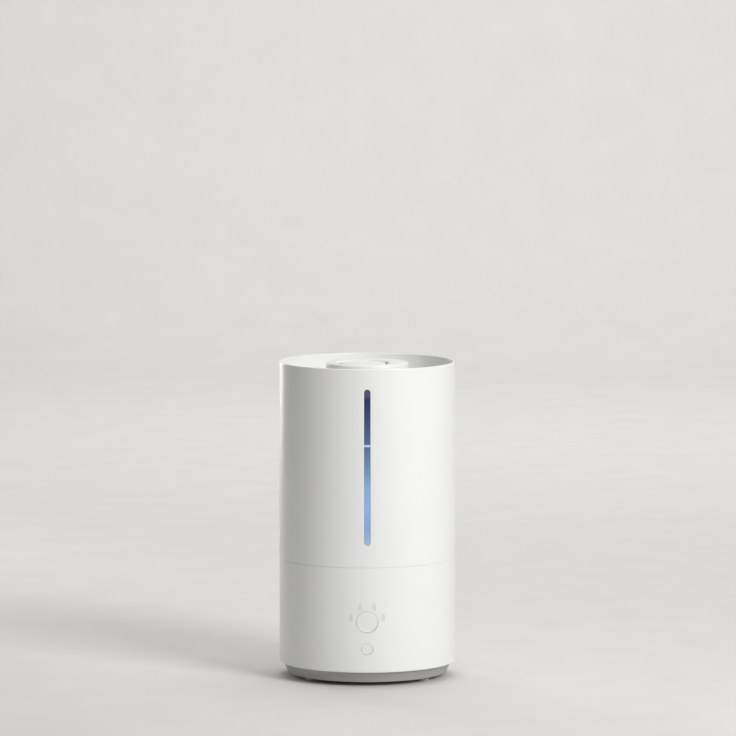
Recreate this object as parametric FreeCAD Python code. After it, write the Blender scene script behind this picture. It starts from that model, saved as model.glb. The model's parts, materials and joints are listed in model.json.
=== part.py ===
"""Cool mist humidifier: a top-fill ultrasonic cylinder, built as separate pieces.

Millimetres, +Z up, the front faces -Y.  The origin is on the standing surface, under the
cylinder's axis.  Each function makes one piece, and each piece is written to parts/NODE.step.
"""
import FreeCAD, Part
import math
import os

# ---- driving dimensions -------------------------------------------------------------------

BODY_R = 99.0            # outside radius of the cylinder
WALL = 2.5               # wall of the white mouldings
JOINT_GAP = 0.1          # room between pieces that are bonded or clipped together
INNER_R = BODY_R - WALL
FOOT_H = 4.6             # how far the feet stand out below the tray
SHELL_LOW = 16.5         # lower edge of the white base shell
SEAM_LOW = 133.9         # top of the base shell
SEAM_HIGH = 134.3        # bottom of the tank shell
RIM_Z = 356.0            # top of the tank shell, the object's full height
EDGE = 0.7               # small chamfer on the shells' edges

# water window in the tank's front
WINDOW_W = 7.0
WINDOW_LOW = 158.9
WINDOW_HIGH = 333.4
LEVEL_Z = 270.5
LEVEL_H = 2.6

# tank vessel
VESSEL_R = 94.5
VESSEL_FLOOR = 140.0
VESSEL_TOP = 330.0
DUCT_R = 17.0
DUCT_BORE = 15.0
DUCT_LOW = 124.0
DUCT_TOP = 325.0
SPIGOT_R = 80.5
VALVE_X = 46.0
NECK_R = 22.5
NECK_BORE = 20.0
NECK_LOW = 128.0

# lid and nozzle
DECK_LOW = 332.0
DECK_TOP = 335.0
LID_R = 95.9
COLLAR_R = 43.5
DRUM_R = 46.5
DRUM_TOP = 354.8
WELL_X = -4.1
WELL_Y = -7.0
WELL_R = 29.3
CAP_R = 24.6
CAP_TOP = 354.8

# base deck and basin
FLANGE_LOW = 129.5
FLANGE_TOP = 132.0
BASIN_R = 81.5
BASIN_LOW = 96.0
BASIN_FLOOR = 98.5
POST_X = 49.5
POST_R = 4.2
FLOAT_Y = 50.0
STACK_X = -62.0
STACK_R = 12.0
REED_BORE = 2.2
LIGHT_Y = -66.0

# bottom tray and feet
TRAY_R = 90.0
TRAY_TOP_R = 95.0
TRAY_FLOOR = FOOT_H + WALL
FOOT_X = 62.5
FOOT_Y = 45.0
FOOT_R = 7.0

# fan
FAN_X = -20.0
FAN_Y = 8.0
FAN_R = 24.5
FAN_LOW = 14.0
FAN_HIGH = 40.0

# controls on the base's front
MODE_Z = 73.5
MODE_HOLE_R = 12.2
POWER_Z = 42.9
POWER_HOLE_R = 6.5
BUTTON_GAP = 0.32
LIGHT_RING_R = 18.5
LIGHT_ANGLES = (15.0, 65.0, 115.0, 165.0)
LIGHT_W = 2.3
LIGHT_H = 8.0
BOARD_FRONT = -84.0
BOARD_T = 1.6

# cord gland at the back
GLAND_Z = 34.0
GLAND_R = 6.0
GLAND_BORE = 3.0


# ---- helpers ------------------------------------------------------------------------------

def vec(x, y, z):
    return FreeCAD.Vector(x, y, z)


UP = vec(0, 0, 1)
BACK = vec(0, 1, 0)


def rod(r, low, high, x=0.0, y=0.0):
    """Upright cylinder between two heights."""
    return Part.makeCylinder(r, high - low, vec(x, y, low), UP)


def ring(outer, inner, low, high, x=0.0, y=0.0):
    """Upright tube between two heights."""
    return rod(outer, low, high, x, y).cut(rod(inner, low - 1, high + 1, x, y))


def rod_y(r, front, back, x, z):
    """Cylinder along Y between two depths."""
    return Part.makeCylinder(r, back - front, vec(x, front, z), BACK)


def block(x0, x1, y0, y1, z0, z1):
    return Part.makeBox(x1 - x0, y1 - y0, z1 - z0, vec(x0, y0, z0))


def turned(points):
    """Solid of revolution from (radius, height) points."""
    wire = Part.makePolygon([vec(r, 0, z) for r, z in points + points[:1]])
    return Part.Face(wire).revolve(vec(0, 0, 0), UP, 360)


def pill(width, low, high, front, back, x=0.0):
    """Upright bar along Y with fully rounded top and bottom."""
    r = width / 2
    bar = block(x - r, x + r, front, back, low + r, high - r)
    for z in (low + r, high - r):
        bar = bar.fuse(rod_y(r, front, back, x, z))
    return bar.removeSplitter()


def curved(shape, outer, inner=None):
    """Keep what lies inside the upright cylinder, and outside the inner one."""
    shape = shape.common(rod(outer, 0, 400))
    if inner:
        shape = shape.cut(rod(inner, 0, 400))
    return shape


def at_angle(shape, degrees):
    turned_shape = shape.copy()
    turned_shape.rotate(vec(0, 0, 0), UP, degrees)
    return turned_shape


def fused(shapes):
    whole = shapes[0]
    for shape in shapes[1:]:
        whole = whole.fuse(shape)
    return whole.removeSplitter()


def cut_all(shape, tools):
    for tool in tools:
        shape = shape.cut(tool)
    return shape


def post_places():
    return [(sx * POST_X, sy * POST_X) for sx in (-1, 1) for sy in (-1, 1)]


def foot_places():
    return [(sx * FOOT_X, sy * FOOT_Y) for sx in (-1, 1) for sy in (-1, 1)]


def around(count, radius, start=0.0):
    """Evenly spaced places on a circle."""
    step = 360.0 / count
    angles = [math.radians(start + step * i) for i in range(count)]
    return [(radius * math.cos(a), radius * math.sin(a)) for a in angles]


# ---- tank ---------------------------------------------------------------------------------

LEDGE_R = 90.0           # inner edge of the ledge that carries the vessel
LEDGE_LOW = 137.5
VESSEL_WALL = 2.5
MAGNET_PLACE = (65.4, 54.9)
REED_PLACE = (67.5, 56.7)


def tank_shell():
    outer = turned([
        (INNER_R, SEAM_HIGH), (BODY_R - EDGE, SEAM_HIGH), (BODY_R, SEAM_HIGH + EDGE),
        (BODY_R, RIM_Z - EDGE), (BODY_R - EDGE, RIM_Z), (INNER_R + EDGE, RIM_Z),
        (INNER_R, RIM_Z - EDGE), (INNER_R, VESSEL_FLOOR), (LEDGE_R, VESSEL_FLOOR),
        (LEDGE_R, LEDGE_LOW), (INNER_R, LEDGE_LOW),
    ])
    return outer.cut(pill(WINDOW_W, WINDOW_LOW, WINDOW_HIGH, -BODY_R - 1, -VESSEL_R - 0.8))


def tank_vessel():
    inner = VESSEL_R - VESSEL_WALL
    floor_top = VESSEL_FLOOR + VESSEL_WALL
    vessel = rod(VESSEL_R, VESSEL_FLOOR, VESSEL_TOP).cut(rod(inner, floor_top, VESSEL_TOP + 1))
    return cut_all(vessel, [
        rod(DUCT_R + JOINT_GAP, VESSEL_FLOOR - 1, floor_top + 1),
        rod(NECK_R + JOINT_GAP, VESSEL_FLOOR - 1, floor_top + 1, VALVE_X),
    ])


def mist_duct():
    return ring(DUCT_R, DUCT_BORE, DUCT_LOW, DUCT_TOP)


def tank_spigot():
    return ring(SPIGOT_R, SPIGOT_R - VESSEL_WALL, DUCT_LOW, VESSEL_FLOOR)


def valve_neck():
    return ring(NECK_R, NECK_BORE, NECK_LOW, VESSEL_FLOOR + VESSEL_WALL, VALVE_X)


def tank_magnet():
    return rod(3.0, 135.0, VESSEL_FLOOR, *MAGNET_PLACE)


LENS_W = WINDOW_W - 0.2
LENS_FLANGE_W = 11.0


def window_lens():
    front = pill(LENS_W, WINDOW_LOW + 0.1, WINDOW_HIGH - 0.1, -BODY_R, -INNER_R + 0.3)
    front = curved(front, BODY_R - 0.6, INNER_R - 0.4)
    flange = pill(LENS_FLANGE_W, WINDOW_LOW - 2, VESSEL_TOP - 0.5, -INNER_R, -VESSEL_R + 1)
    flange = curved(flange, INNER_R - 0.1, VESSEL_R + 1.0)
    return front.fuse(flange).removeSplitter()


def window_gasket():
    outer = pill(LENS_FLANGE_W, WINDOW_LOW - 2, VESSEL_TOP - 1, -INNER_R, -VESSEL_R + 1)
    inner = pill(WINDOW_W, WINDOW_LOW, VESSEL_TOP - 3, -INNER_R, -VESSEL_R + 1)
    return curved(outer.cut(inner), VESSEL_R + 0.9, VESSEL_R + 0.1)


def level_mark():
    half = LEVEL_H / 2
    bar = block(-LENS_W / 2, LENS_W / 2, -BODY_R, -INNER_R, LEVEL_Z - half, LEVEL_Z + half)
    return curved(bar, BODY_R - 0.2, BODY_R - 0.6)


CAP_CUP_R = 26.0
CAP_PLATE_LOW = 124.0
CAP_PLATE_TOP = 126.5
STEM_R = 2.2
STEM_LOW = 119.5
SEAL_LOW = 126.8
STEM_DISC_TOP = 129.8
BRIDGE_LOW = 141.0
BRIDGE_TOP = 143.5
STEM_TOP = 147.0


def valve_cap():
    cup = rod(CAP_CUP_R, CAP_PLATE_LOW, 137.0, VALVE_X)
    cup = cup.cut(rod(NECK_R + 0.5, CAP_PLATE_TOP, 138.0, VALVE_X))
    cup = cup.cut(rod(7.0, CAP_PLATE_LOW - 1, CAP_PLATE_TOP + 1, VALVE_X))
    ribs = [rod(0.9, 127.0, 136.5, VALVE_X + x, y) for x, y in around(24, CAP_CUP_R)]
    leg = block(VALVE_X + 13.0, VALVE_X + 15.5, -2, 2, CAP_PLATE_TOP - 0.5, BRIDGE_TOP)
    cage = leg.fuse(block(VALVE_X, VALVE_X + 15.5, -2, 2, BRIDGE_LOW, BRIDGE_TOP))
    arms = []
    for angle in (0, 120, 240):
        arm = cage.copy()
        arm.rotate(vec(VALVE_X, 0, 0), UP, angle)
        arms.append(arm)
    whole = fused([cup] + ribs + arms + [rod(6.0, BRIDGE_LOW, BRIDGE_TOP, VALVE_X)])
    return whole.cut(rod(STEM_R + 0.4, BRIDGE_LOW - 1, BRIDGE_TOP + 1, VALVE_X))


def valve_cap_seal():
    return ring(NECK_R, 19.0, CAP_PLATE_TOP, NECK_LOW, VALVE_X)


def valve_stem():
    return fused([
        rod(STEM_R, STEM_LOW, STEM_TOP, VALVE_X),
        rod(8.0, SEAL_LOW + 1.5, STEM_DISC_TOP, VALVE_X),
    ])


def valve_seal():
    return ring(9.5, STEM_R + 0.02, SEAL_LOW, SEAL_LOW + 1.5, VALVE_X)


def valve_spring():
    wire_r = 0.5
    coil_r = 4.6
    low = STEM_DISC_TOP + wire_r + 0.35
    height = BRIDGE_LOW - wire_r - 0.1 - low
    helix = Part.makeHelix(height / 5.0, height, coil_r)
    start = vec(coil_r, 0, 0)
    section = Part.Wire(Part.makeCircle(wire_r, start, vec(0, 1, 0)))
    coil = Part.Wire(helix).makePipeShell([section], True, True)
    coil.translate(vec(VALVE_X, 0, low))
    return coil


# ---- lid and nozzle -----------------------------------------------------------------------

SLOT_OUT = 78.0
SLOT_IN = 62.0
SLOT_SPAN = 42.0
TUBE_R = 20.0
TUBE_BORE = 18.0
TUBE_LOW = 312.0
COLLAR_TOP = 347.0
LIP_H = 1.0


def sector(outer, inner, low, high, span):
    """Piece of a ring, centred on +X, that spans the given angle."""
    face = Part.Face(Part.makePolygon([
        vec(inner, 0, low), vec(outer, 0, low), vec(outer, 0, high), vec(inner, 0, high),
        vec(inner, 0, low),
    ]))
    return at_angle(face.revolve(vec(0, 0, 0), UP, span), -span / 2)


def lid_deck():
    hole = TUBE_R + JOINT_GAP
    deck = turned([
        (hole, DECK_LOW), (LID_R, DECK_LOW), (LID_R, DECK_TOP + LIP_H),
        (LID_R - 1.6, DECK_TOP + LIP_H), (LID_R - 2.6, DECK_TOP), (hole, DECK_TOP),
    ])
    slot = sector(SLOT_OUT, SLOT_IN, DECK_LOW - 1, DECK_TOP + 1, SLOT_SPAN)
    return cut_all(deck, [at_angle(slot, 60.0 * i + 30.0) for i in range(6)])


def lid_collar():
    return ring(COLLAR_R, COLLAR_R - WALL, DECK_TOP, COLLAR_TOP)


def lid_tube():
    return ring(TUBE_R, TUBE_BORE, TUBE_LOW, DECK_TOP)


def lid_seal():
    return ring(LID_R - 0.4, 92.2, VESSEL_TOP + 0.4, DECK_LOW)


def splash_baffle():
    legs = [rod(1.4, DECK_TOP, 337.5, x, y) for x, y in around(3, 22.5, 90)]
    arm = block(0, 24.0, -2.0, 2.0, 337.5, 339.0)
    arms = [at_angle(arm, 90 + 120 * i) for i in range(3)]
    return fused([rod(14.5, 337.5, 339.0)] + arms + legs)


DRUM_LOW = DECK_TOP + 0.8
DRUM_ROUND = 1.6
WELL_LOW = 341.0
HUB_R = 8.0
STEM_HUB_R = 5.0


def nozzle_platform():
    plate_low = DRUM_TOP - WALL
    drum = turned([
        (DRUM_R - 2.4, DRUM_LOW), (DRUM_R, DRUM_LOW), (DRUM_R, DRUM_TOP - DRUM_ROUND),
        (DRUM_R - 0.47, DRUM_TOP - 0.47), (DRUM_R - DRUM_ROUND, DRUM_TOP),
        (0, DRUM_TOP), (0, plate_low), (DRUM_R - 2.4, plate_low),
    ])
    return drum.cut(rod(WELL_R, plate_low - 1, DRUM_TOP + 1, WELL_X, WELL_Y))


def outlet_ring():
    """Wall of the outlet with three spokes to the hub that holds the cap."""
    spokes = []
    for i in range(3):
        spoke = at_angle(block(0, WELL_R + 1.0, -1.5, 1.5, WELL_LOW, WELL_LOW + 3.0), 90 + 120 * i)
        spoke.translate(vec(WELL_X, WELL_Y, 0))
        spokes.append(spoke)
    wall = ring(WELL_R + 2.0, WELL_R, WELL_LOW, DRUM_TOP - WALL, WELL_X, WELL_Y)
    hub = rod(HUB_R, WELL_LOW, COLLAR_TOP, WELL_X, WELL_Y)
    bore = rod(STEM_HUB_R + 0.05, WELL_LOW - 1, COLLAR_TOP + 1, WELL_X, WELL_Y)
    return fused([wall, hub] + spokes).cut(bore)


def nozzle_cap():
    cap = turned([
        (0, 342.0), (STEM_HUB_R, 342.0), (STEM_HUB_R, 347.4), (9.0, 348.2),
        (CAP_R - 1.0, 350.9), (CAP_R, 351.8), (CAP_R, CAP_TOP - 1.2),
        (CAP_R - 0.35, CAP_TOP - 0.35), (CAP_R - 1.2, CAP_TOP), (0, CAP_TOP),
    ])
    cap.translate(vec(WELL_X, WELL_Y, 0))
    return cap


# ---- base shell and deck ------------------------------------------------------------------

SHELF_LOW = 127.0
SHELF_R = 93.5


def light_places():
    places = []
    for angle in LIGHT_ANGLES:
        a = math.radians(angle)
        places.append((LIGHT_RING_R * math.cos(a), MODE_Z + LIGHT_RING_R * math.sin(a)))
    return places


def base_shell():
    shell = turned([
        (INNER_R, SHELL_LOW), (BODY_R - 1.2, SHELL_LOW), (BODY_R, SHELL_LOW + 1.2),
        (BODY_R, SEAM_LOW - EDGE), (BODY_R - EDGE, SEAM_LOW), (INNER_R, SEAM_LOW),
        (INNER_R, FLANGE_LOW), (SHELF_R, FLANGE_LOW), (SHELF_R, SHELF_LOW),
        (INNER_R, SHELF_LOW - 3.0),
    ])
    front = -BODY_R - 1
    inside = -90.0
    cutters = [
        rod_y(MODE_HOLE_R, front, inside, 0, MODE_Z),
        rod_y(POWER_HOLE_R, front, inside, 0, POWER_Z),
        rod_y(GLAND_R + 0.1, 90.0, BODY_R + 1, 0, GLAND_Z),
    ]
    for x, z in light_places():
        cutters.append(pill(LIGHT_W, z - LIGHT_H / 2, z + LIGHT_H / 2, front, inside, x))
    for i in range(-2, 3):
        cutters.append(pill(1.6, 97.0, 109.0, 90.0, BODY_R + 1, 4.0 * i))
    return cut_all(shell, cutters)


def base_deck():
    """Water basin with the flange that sits on the shell's shelf."""
    bowl = turned([
        (0, BASIN_LOW), (BASIN_R + WALL, BASIN_LOW), (BASIN_R + WALL, FLANGE_LOW),
        (INNER_R - 0.3, FLANGE_LOW), (INNER_R - 0.3, FLANGE_TOP), (BASIN_R, FLANGE_TOP),
        (BASIN_R, BASIN_FLOOR), (0, BASIN_FLOOR),
    ])
    low = BASIN_LOW - 1
    high = BASIN_FLOOR + 1
    return cut_all(bowl, [
        rod(12.0, low, high),
        rod(STACK_R + JOINT_GAP, low, high, STACK_X),
        rod(9.0, low, high, 0, LIGHT_Y),
        rod(REED_BORE, low, high, 0, FLOAT_Y),
    ])


def air_stack():
    return ring(STACK_R, 9.8, 84.0, 131.0, STACK_X)


def light_well():
    well = ring(11.0, 9.0, BASIN_FLOOR, 130.5, 0, LIGHT_Y)
    return well.fuse(ring(9.2, 7.6, 125.0, 127.0, 0, LIGHT_Y)).removeSplitter()


def basin_posts():
    """The float's guide post, and the ribbed pin that pushes the tank's valve open."""
    guide = rod(4.0, BASIN_FLOOR, 126.0, 0, FLOAT_Y)
    guide = guide.cut(rod(REED_BORE, BASIN_FLOOR - 1, 122.0, 0, FLOAT_Y))
    pusher = fused([
        rod(3.0, BASIN_FLOOR, STEM_LOW - 0.3, VALVE_X),
        block(VALVE_X - 6, VALVE_X + 6, -0.8, 0.8, BASIN_FLOOR, 112.0),
        block(VALVE_X - 0.8, VALVE_X + 0.8, -6, 6, BASIN_FLOOR, 112.0),
    ])
    return Part.makeCompound([guide, pusher])


def deck_legs():
    """Screw posts under the deck: four long ones for the tray, three bosses for the clamp."""
    legs = [rod(POST_R, 9.2, BASIN_LOW, x, y).cut(rod(1.6, 8.0, 22.0, x, y))
            for x, y in post_places()]
    bosses = [rod(3.5, CLAMP_TOP, BASIN_LOW, x, y).cut(rod(1.3, CLAMP_TOP - 1, 94.0, x, y))
              for x, y in clamp_screw_places()]
    return Part.makeCompound(legs + bosses)


def tank_gasket():
    return turned([
        (90.8, FLANGE_TOP), (94.2, FLANGE_TOP), (94.2, 135.4), (92.5, 137.1), (90.8, 135.4),
    ])


def transducer_gasket():
    return ring(15.0, 10.5, 92.0, BASIN_LOW).cut(rod(12.6, 93.4, 94.8))


def transducer_disc():
    return rod(12.5, 93.5, 94.7)


CLAMP_LOW = 85.0
CLAMP_TOP = 88.0


def clamp_screw_places():
    return around(3, 23.0, 90)


def transducer_clamp():
    """Finned plate that presses the disc's gasket up against the basin."""
    plate = fused([rod(27.0, CLAMP_LOW, CLAMP_TOP), rod(15.0, CLAMP_TOP - 1, 92.0)])
    fins = [block(6.0 * i - 0.6, 6.0 * i + 0.6, -14, 14, 79.0, CLAMP_LOW + 0.5)
            for i in range(-2, 3)]
    bore = rod(9.0, 78.0, 93.0)
    holes = [rod(1.4, 84.0, 93.0, x, y) for x, y in clamp_screw_places()]
    return cut_all(fused([plate] + fins), [bore] + holes)


def light_lens():
    lens = turned([(0, 127.0), (8.8, 127.0), (8.8, 129.8), (7.2, 130.5), (0, 131.4)])
    lens.translate(vec(0, LIGHT_Y, 0))
    return lens


def light_board():
    board = rod(8.6, 110.0, 111.6, 0, LIGHT_Y)
    chips = [block(x - 1.5, x + 1.5, LIGHT_Y - 1.5, LIGHT_Y + 1.5, 111.0, 112.6)
             for x in (-3.5, 3.5)]
    return fused([board] + chips)


def float_clip():
    return ring(6.5, 4.05, 122.6, 124.2, 0, FLOAT_Y)


FLOAT_LOW = 99.0
FLOAT_H = 10.0


def float_body():
    body = ring(13.0, 4.6, FLOAT_LOW, FLOAT_LOW + FLOAT_H, 0, FLOAT_Y)
    return body.cut(ring(9.0, 6.0, FLOAT_LOW - 1, FLOAT_LOW + 3.5, 0, FLOAT_Y))


def float_magnet():
    return ring(8.8, 6.2, FLOAT_LOW + 0.5, FLOAT_LOW + 3.4, 0, FLOAT_Y)


def reed_switches():
    """One reed inside the float's post, one under the deck below the tank's magnet."""
    x, y = REED_PLACE
    float_reed = rod(1.9, BASIN_FLOOR + 0.5, 119.0, 0, FLOAT_Y)
    tank_reed = block(x - 2.2, x + 2.2, y - 2.2, y + 2.2, 126.4, FLANGE_LOW)
    return Part.makeCompound([float_reed, tank_reed])


# ---- air path -----------------------------------------------------------------------------

DUCT_SIDE = 13.5
PORT_Y0 = -11.0
PORT_Y1 = 5.0


def air_duct():
    outer = rod(DUCT_SIDE, 14.0, 94.0, STACK_X)
    port = block(STACK_X, FAN_X - 27.0, PORT_Y0, PORT_Y1, 17.0, 37.0)
    inner = rod(DUCT_SIDE - 1.3, 16.0, 95.0, STACK_X)
    port_hole = block(STACK_X, FAN_X - 26.0, PORT_Y0 + 1.5, PORT_Y1 - 1.5, 18.5, 35.5)
    return fused([outer, port]).cut(inner).cut(port_hole)


FAN_LEG_R = 2.5
FAN_LEG_OUT = 24.0


def fan_leg_places():
    return [(FAN_X + sx * FAN_LEG_OUT, FAN_Y + sy * FAN_LEG_OUT)
            for sx in (-1, 1) for sy in (-1, 1)]


def fan_housing():
    half = 27.0
    housing = block(FAN_X - half, FAN_X + half, FAN_Y - half, FAN_Y + half, FAN_LOW, FAN_HIGH)
    legs = [rod(FAN_LEG_R, TRAY_FLOOR, FAN_LOW + 1, x, y) for x, y in fan_leg_places()]
    housing = fused([housing] + legs)
    return cut_all(housing, [
        rod(FAN_R, FAN_LOW + WALL, FAN_HIGH - WALL, FAN_X, FAN_Y),
        rod(17.0, FAN_LOW - 1, FAN_LOW + 3, FAN_X, FAN_Y),
        block(FAN_X - half - 1, FAN_X, PORT_Y0 + 1.5, PORT_Y1 - 1.5, 18.5, 35.5),
        rod(5.0, FAN_HIGH - 3, FAN_HIGH + 1, FAN_X, FAN_Y),
    ])


MOTOR_LOW = 27.0
SHAFT_R = 1.5


def fan_motor():
    motor = fused([
        rod(8.5, MOTOR_LOW, FAN_HIGH - WALL, FAN_X, FAN_Y),
        rod(4.9, MOTOR_LOW, FAN_HIGH + 1.5, FAN_X, FAN_Y),
    ])
    return motor.cut(rod(SHAFT_R + 0.05, MOTOR_LOW - 1, 36.0, FAN_X, FAN_Y))


def fan_impeller():
    low = 18.0
    cup = rod(11.0, 24.0, 36.0, FAN_X, FAN_Y).cut(rod(9.3, 26.0, 37.0, FAN_X, FAN_Y))
    back = ring(21.5, 9.3, 34.6, 36.0, FAN_X, FAN_Y)
    hoop = ring(21.5, 18.5, low, low + 1.4, FAN_X, FAN_Y)
    blades = []
    for i in range(18):
        blade = block(15.0, 21.3, -0.5, 0.5, low, 35.5)
        blade.rotate(vec(18.0, 0, 0), UP, 28)
        blade = at_angle(blade, 20.0 * i)
        blade.translate(vec(FAN_X, FAN_Y, 0))
        blades.append(blade)
    shaft = rod(SHAFT_R, 25.0, 35.0, FAN_X, FAN_Y)
    return fused([cup, back, hoop, shaft] + blades)


# ---- electronics --------------------------------------------------------------------------

MAIN_X0 = 14.0
MAIN_X1 = 66.0
MAIN_Y = 38.0
MAIN_LOW = 16.0
MAIN_TOP = MAIN_LOW + BOARD_T


def standoff_places():
    return [(x, y) for x in (MAIN_X0 + 4, MAIN_X1 - 4) for y in (-MAIN_Y + 4, MAIN_Y - 4)]


def main_board():
    board = block(MAIN_X0, MAIN_X1, -MAIN_Y, MAIN_Y, MAIN_LOW, MAIN_TOP)
    return cut_all(board, [rod(1.5, 15.0, 19.0, x, y) for x, y in standoff_places()])


def transformer():
    core = block(20, 44, -24, -2, MAIN_TOP, MAIN_TOP + 18)
    winding = block(22.5, 41.5, -27, 1, MAIN_TOP + 2.5, MAIN_TOP + 15.5)
    return fused([core, winding])


def capacitors():
    cans = []
    for x, y, r, h in ((52, -22, 5.0, 20.0), (52, -10, 4.0, 14.0), (24, 14, 4.0, 12.0)):
        cans.append(rod(r, MAIN_TOP, MAIN_TOP + h, x, y))
    return Part.makeCompound(cans)


def heat_sink():
    plate = block(40, 43, 8, 34, MAIN_TOP, MAIN_TOP + 24)
    fins = [block(42.5, 54, 8 + 4.8 * i, 9.6 + 4.8 * i, MAIN_TOP, MAIN_TOP + 24)
            for i in range(6)]
    return fused([plate] + fins)


def terminal_block():
    body = block(20, 36, 24, 33, MAIN_TOP, MAIN_TOP + 10)
    return cut_all(body, [rod_y(1.6, 29, 35, 22.7 + 5.3 * i, MAIN_TOP + 5) for i in range(3)])


def control_board():
    board = block(-24, 24, BOARD_FRONT, BOARD_FRONT + BOARD_T, 30.0, 94.0)
    back = BOARD_FRONT + BOARD_T
    connector = block(-8, 8, back, back + 6, 52, 60)
    return fused([board, connector])


def tact_switch(z):
    body = block(-3, 3, BOARD_FRONT - 3.5, BOARD_FRONT, z - 3, z + 3)
    return body.fuse(rod_y(1.7, BOARD_FRONT - 4.5, BOARD_FRONT - 3.0, 0, z)).removeSplitter()


def tact_switches():
    return Part.makeCompound([tact_switch(MODE_Z), tact_switch(POWER_Z)])


def indicator_leds():
    return Part.makeCompound([
        block(x - 1, x + 1, BOARD_FRONT - 0.9, BOARD_FRONT, z - 1.5, z + 1.5)
        for x, z in light_places()
    ])


def light_guide(x, z):
    inset = 0.1
    low = z - LIGHT_H / 2 + inset
    high = z + LIGHT_H / 2 - inset
    bar = pill(LIGHT_W - 2 * inset, low, high, -BODY_R, BOARD_FRONT - 1.2, x)
    return curved(bar, BODY_R - 0.1)


def light_guides():
    return Part.makeCompound([light_guide(x, z) for x, z in light_places()])


def button(r, z, flange_r, flange_front):
    """Round push button that follows the shell's curve, with a flange and a stem behind."""
    face = curved(rod_y(r, -BODY_R, flange_front + 0.5, 0, z), BODY_R - 0.1)
    flange = rod_y(flange_r, flange_front, flange_front + 1.4, 0, z)
    stem = rod_y(2.0, flange_front + 1.0, BOARD_FRONT - 6.2, 0, z)
    return fused([face, flange, stem])


def mode_button():
    return button(MODE_HOLE_R - BUTTON_GAP, MODE_Z, 13.8, -94.9)


def power_button():
    return button(POWER_HOLE_R - BUTTON_GAP, POWER_Z, 8.0, -95.4)


def cord_gland():
    body = fused([
        rod_y(GLAND_R, 84.0, BODY_R, 0, GLAND_Z),
        rod_y(8.5, 92.4, 95.4, 0, GLAND_Z),
    ])
    mouth = Part.makeCone(GLAND_BORE, GLAND_BORE + 1.4, 4.2, vec(0, 95.8, GLAND_Z), vec(0, 1, 0))
    bore = rod_y(GLAND_BORE, 83.0, 96.0, 0, GLAND_Z).fuse(mouth)
    return curved(body, BODY_R - 0.1).cut(bore)


def humidity_sensor():
    """Small board behind the back vents, on two pegs that stand on the basin's wall."""
    board = block(-10.0, 10.0, 89.6, 91.0, 97.0, 113.0)
    pegs = [curved(rod_y(1.5, 80.0, 90.0, x, 100.0), BODY_R, BASIN_R + WALL) for x in (-7, 7)]
    return fused([board, block(-3, 3, 90.5, 93.0, 100.0, 106.0)] + pegs)


# ---- bottom tray and feet -----------------------------------------------------------------

TRAY_LIP_R = INNER_R - 0.3
STEP_Z = 10.4


def tray_outline():
    return [
        (0, FOOT_H), (TRAY_R - 0.8, FOOT_H), (TRAY_R, FOOT_H + 0.8), (TRAY_R + 1.7, STEP_Z),
        (TRAY_R + 2.3, STEP_Z), (TRAY_TOP_R, SHELL_LOW + 1.0), (TRAY_LIP_R, SHELL_LOW + 1.0),
        (TRAY_LIP_R, SHELL_LOW + 3.0), (TRAY_TOP_R - WALL, SHELL_LOW + 3.0),
        (TRAY_R - WALL, TRAY_FLOOR), (0, TRAY_FLOOR),
    ]


def bottom_tray():
    tray = turned(tray_outline())
    bosses = [rod(6.0, TRAY_FLOOR - 1, 9.1, x, y) for x, y in post_places()]
    bosses += [rod(3.0, TRAY_FLOOR - 1, MAIN_LOW, x, y) for x, y in standoff_places()]
    half = 23.0
    frame = block(FAN_X - half, FAN_X + half, FAN_Y - half, FAN_Y + half, TRAY_FLOOR - 1, 9.6)
    inner = half - 1.6
    frame = frame.cut(block(FAN_X - inner, FAN_X + inner, FAN_Y - inner, FAN_Y + inner, 5, 11))
    frame = cut_all(frame, [rod(3.0, 5.0, 11.0, x, y) for x, y in fan_leg_places()])
    tray = fused([tray, frame] + bosses)
    cutters = []
    for i in range(-3, 4):
        chord = math.sqrt(20.0 ** 2 - (5.6 * i) ** 2)
        y = FAN_Y + 5.6 * i
        cutters.append(block(FAN_X - chord, FAN_X + chord, y - 1.5, y + 1.5, 3.0, 8.0))
    for x, y in post_places():
        cutters.append(rod(3.6, 3.0, 7.1, x, y))
        cutters.append(rod(1.8, 6.0, 10.0, x, y))
    cutters += [rod(3.05, 3.0, 9.0, x, y) for x, y in foot_places()]
    cutters += [rod(1.2, 9.0, 17.0, x, y) for x, y in standoff_places()]
    return cut_all(tray, cutters)


def screws():
    """Four that hold the tray, and three that hold the mist maker's clamp."""
    tray = [rod(3.2, 5.0, TRAY_FLOOR, x, y).fuse(rod(1.5, 6.5, 19.0, x, y))
            for x, y in post_places()]
    clamp = [rod(2.6, CLAMP_LOW - 2, CLAMP_LOW, x, y).fuse(rod(1.2, CLAMP_LOW - 1, 93.0, x, y))
             for x, y in clamp_screw_places()]
    return Part.makeCompound(tray + clamp)


def intake_filter():
    half = 21.0
    return block(FAN_X - half, FAN_X + half, FAN_Y - half, FAN_Y + half, TRAY_FLOOR, 10.6)


def foot(x, y):
    pad = rod(FOOT_R, 0, FOOT_H, x, y).cut(rod(3.6, -1, 1.2, x, y))
    pad = pad.makeChamfer(0.6, [e for e in pad.Edges if abs(e.BoundBox.ZMax) < 0.01
                                and e.BoundBox.XLength > 2 * FOOT_R - 1])
    stem = rod(3.0, FOOT_H - 0.5, TRAY_FLOOR, x, y)
    barb = Part.makeCone(3.9, 2.2, 2.4, vec(x, y, TRAY_FLOOR), UP)
    return fused([pad, stem, barb])


def feet():
    return Part.makeCompound([foot(x, y) for x, y in foot_places()])


# ---- write every piece --------------------------------------------------------------------

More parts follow.
